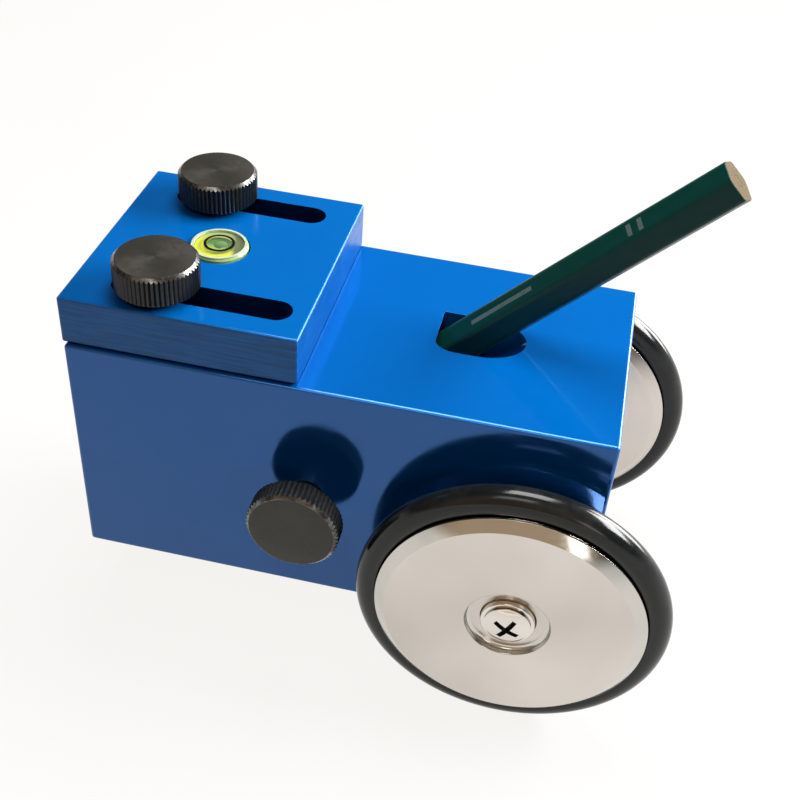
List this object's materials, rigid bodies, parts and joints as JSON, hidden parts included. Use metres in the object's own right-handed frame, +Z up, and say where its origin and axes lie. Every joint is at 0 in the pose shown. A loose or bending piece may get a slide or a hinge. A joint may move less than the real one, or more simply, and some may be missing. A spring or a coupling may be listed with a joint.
{
  "type": "pencil hardness tester",
  "caption": "Wheeled steel block that clamps a wooden pencil at 45 degrees and drags its lead over a coating under a set load, with a sliding trim weight and a bubble level.",
  "frame": {"origin": "on the surface that the tester stands on, under the middle of its box", "axes": "+X forwards, towards the wheels, +Y towards the side away from the clamp knob, +Z up"},
  "size_m": [0.1164, 0.075, 0.1072],
  "materials": {
    "blue_paint": "gloss",
    "blackened_steel": "satin",
    "turned_steel": "satin",
    "bright_steel": "polished",
    "plain_steel": "satin",
    "bronze": "matte",
    "black_rubber": "satin",
    "clear_acrylic": "gloss",
    "level_liquid": "gloss",
    "white_plastic": "matte",
    "green_lacquer": "gloss",
    "graphite": "satin"
  },
  "bodies": {
    "tester_body": {"body_block": "blue_paint", "axle_shaft": "plain_steel", "near_wheel_spacer": "bronze", "far_wheel_spacer": "bronze", "near_axle_washer": "bright_steel", "far_axle_washer": "bright_steel", "near_axle_screw": "bright_steel", "far_axle_screw": "bright_steel"},
    "near_wheel": {"near_wheel_disc": "turned_steel", "near_wheel_tyre": "black_rubber", "near_wheel_bush": "bronze"},
    "far_wheel": {"far_wheel_disc": "turned_steel", "far_wheel_tyre": "black_rubber", "far_wheel_bush": "bronze"},
    "sliding_weight": {"weight_plate": "blue_paint", "level_housing": "clear_acrylic", "level_liquid": "level_liquid", "level_base": "white_plastic"},
    "near_screw_lift": {"near_screw_washer": "plain_steel"},
    "near_screw": {"near_screw_head": "blackened_steel", "near_screw_stud": "plain_steel"},
    "far_screw_lift": {"far_screw_washer": "plain_steel"},
    "far_screw": {"far_screw_head": "blackened_steel", "far_screw_stud": "plain_steel"},
    "clamp_travel": {"clamp_pad": "bronze"},
    "clamp_screw": {"clamp_knob": "blackened_steel", "clamp_stud": "plain_steel"},
    "pencil": {"pencil_casing": "green_lacquer", "pencil_lead": "graphite"}
  },
  "joints": [
    {"name": "near_wheel_spin", "type": "hinge", "parent": "tester_body", "child": "near_wheel", "pos_m": [0.02885, -0.03155, 0.0293], "axis": [0, 1, 0], "continuous": true},
    {"name": "far_wheel_spin", "type": "hinge", "parent": "tester_body", "child": "far_wheel", "pos_m": [0.02885, 0.03155, 0.0293], "axis": [0, 1, 0], "continuous": true},
    {"name": "weight_slide", "type": "slide", "parent": "tester_body", "child": "sliding_weight", "axis": [1, 0, 0], "range_m": [-0.0191, 0.0057]},
    {"name": "near_screw_rise", "type": "slide", "parent": "tester_body", "child": "near_screw_lift", "axis": [0, 0, 1], "range_m": [0, 0.0033]},
    {"name": "near_screw_turn", "type": "hinge", "parent": "near_screw_lift", "child": "near_screw", "pos_m": [-0.04235, -0.0164, 0.0656], "axis": [0, 0, 1], "range_deg": [0, 1440]},
    {"name": "far_screw_rise", "type": "slide", "parent": "tester_body", "child": "far_screw_lift", "axis": [0, 0, 1], "range_m": [0, 0.0033]},
    {"name": "far_screw_turn", "type": "hinge", "parent": "far_screw_lift", "child": "far_screw", "pos_m": [-0.04235, 0.0164, 0.0656], "axis": [0, 0, 1], "range_deg": [0, 1440]},
    {"name": "clamp_retreat", "type": "slide", "parent": "tester_body", "child": "clamp_travel", "axis": [0, -1, 0], "range_m": [0, 0.0041]},
    {"name": "clamp_turn", "type": "hinge", "parent": "clamp_travel", "child": "clamp_screw", "pos_m": [-0.01225, -0.02475, 0.04085], "axis": [0, -1, 0], "range_deg": [0, 1440]},
    {"name": "pencil_slide", "type": "slide", "parent": "tester_body", "child": "pencil", "axis": [0.7071, 0, 0.7071], "range_m": [0, 0.09]}
  ],
  "couplings": [
    {"joint": "near_screw_rise", "follows": "near_screw_turn", "m_per_rad": 0.00012732},
    {"joint": "far_screw_rise", "follows": "far_screw_turn", "m_per_rad": 0.00012732},
    {"joint": "clamp_retreat", "follows": "clamp_turn", "m_per_rad": 0.00015915}
  ]
}
